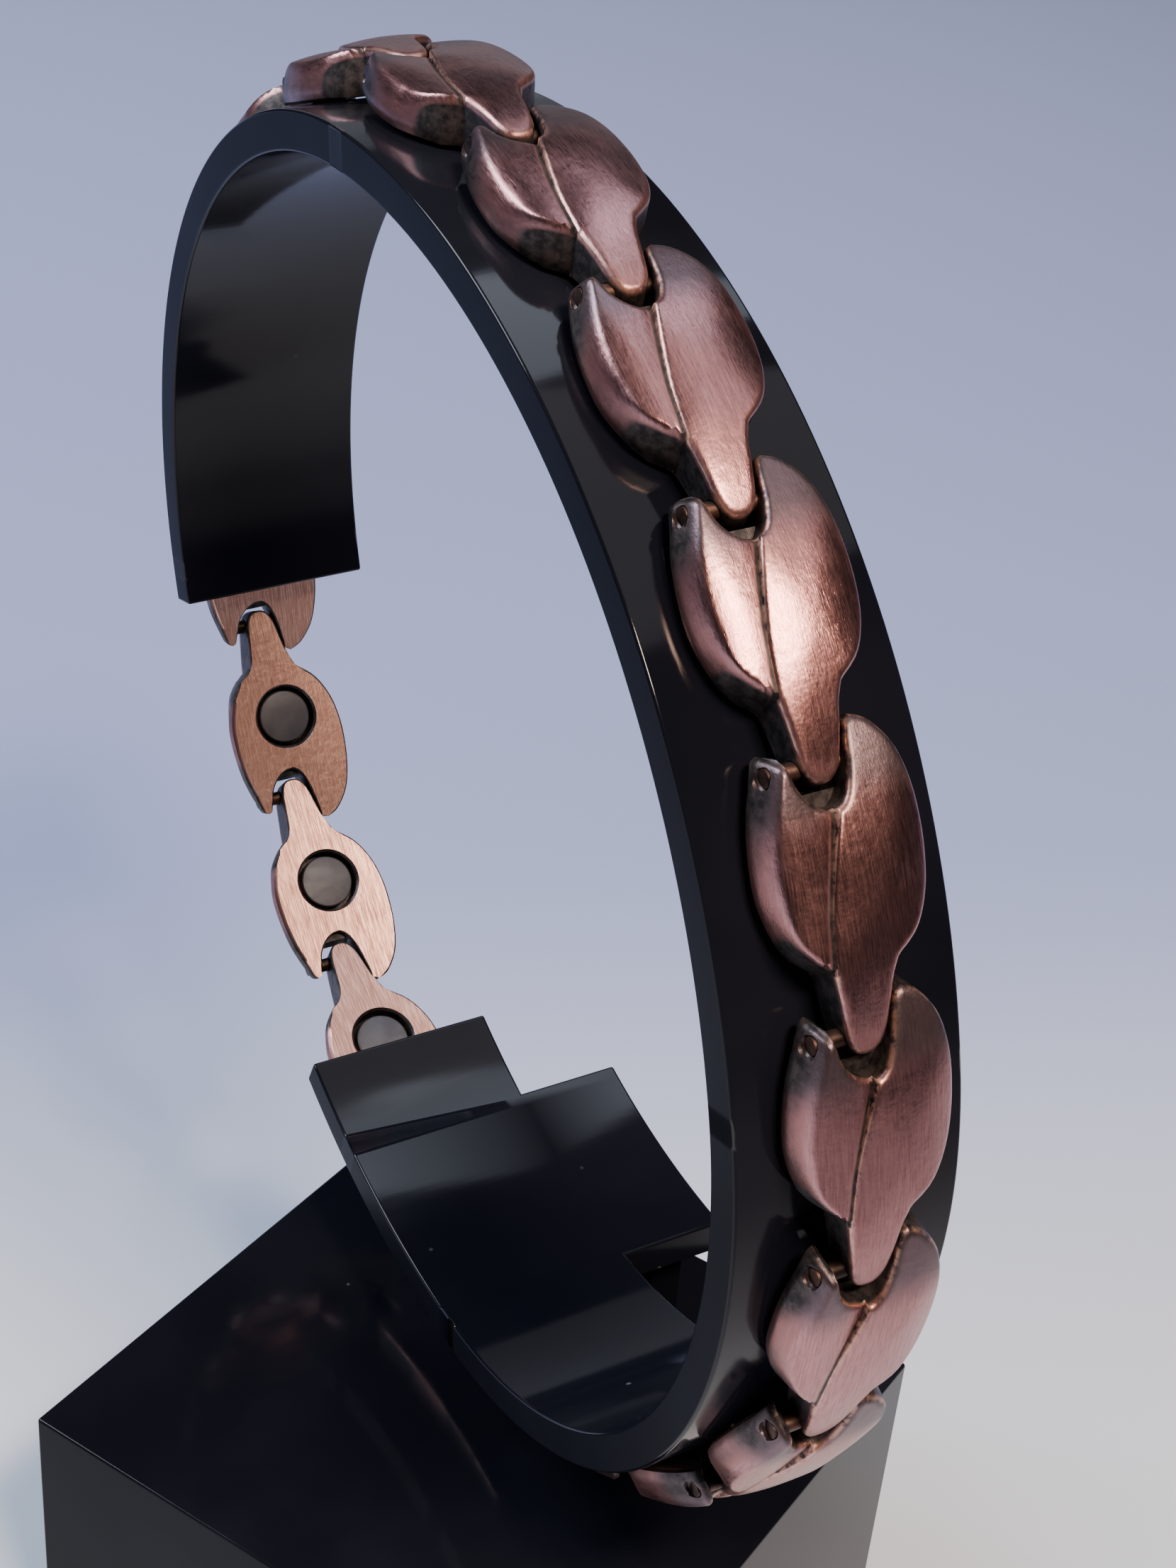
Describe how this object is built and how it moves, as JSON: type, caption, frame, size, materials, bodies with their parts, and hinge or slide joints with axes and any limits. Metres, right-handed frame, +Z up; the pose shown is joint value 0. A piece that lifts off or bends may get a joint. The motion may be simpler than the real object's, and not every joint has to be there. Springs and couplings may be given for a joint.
{
  "type": "magnetic bracelet and display stand",
  "caption": "Magnetic bracelet of hinged leaf-shaped copper links closed round an open oval strip that stands on a plain block.",
  "frame": {"origin": "centre of the underside of the stand's block, on the surface that it rests on", "axes": "+Z up; +Y to the back, within 2 degrees of the ring's axis, from the strip's front edge to its back edge; +X to the right as seen from the strip's front edge"},
  "size_m": [0.0727, 0.0478, 0.0938],
  "materials": {
    "acrylic": "polished",
    "copper": "brushed, antiqued",
    "magnet": "gloss"
  },
  "bodies": {
    "root": {"stand_base": "acrylic", "stand_ring": "acrylic", "clasp": "copper", "hinge_pins": "copper", "link_01": "copper", "link_02": "copper", "link_03": "copper", "link_04": "copper", "link_05": "copper", "link_06": "copper", "link_07": "copper", "link_08": "copper", "link_09": "copper", "link_10": "copper", "link_11": "copper", "link_12": "copper", "link_13": "copper", "link_14": "copper", "link_15": "copper", "link_16": "copper", "link_17": "copper", "link_18": "copper", "magnet_01": "magnet", "magnet_02": "magnet", "magnet_03": "magnet", "magnet_04": "magnet", "magnet_05": "magnet", "magnet_06": "magnet", "magnet_07": "magnet", "magnet_08": "magnet", "magnet_09": "magnet", "magnet_10": "magnet", "magnet_11": "magnet", "magnet_12": "magnet", "magnet_13": "magnet", "magnet_14": "magnet", "magnet_15": "magnet", "magnet_16": "magnet", "magnet_17": "magnet", "magnet_18": "magnet"}
  },
  "joints": []
}
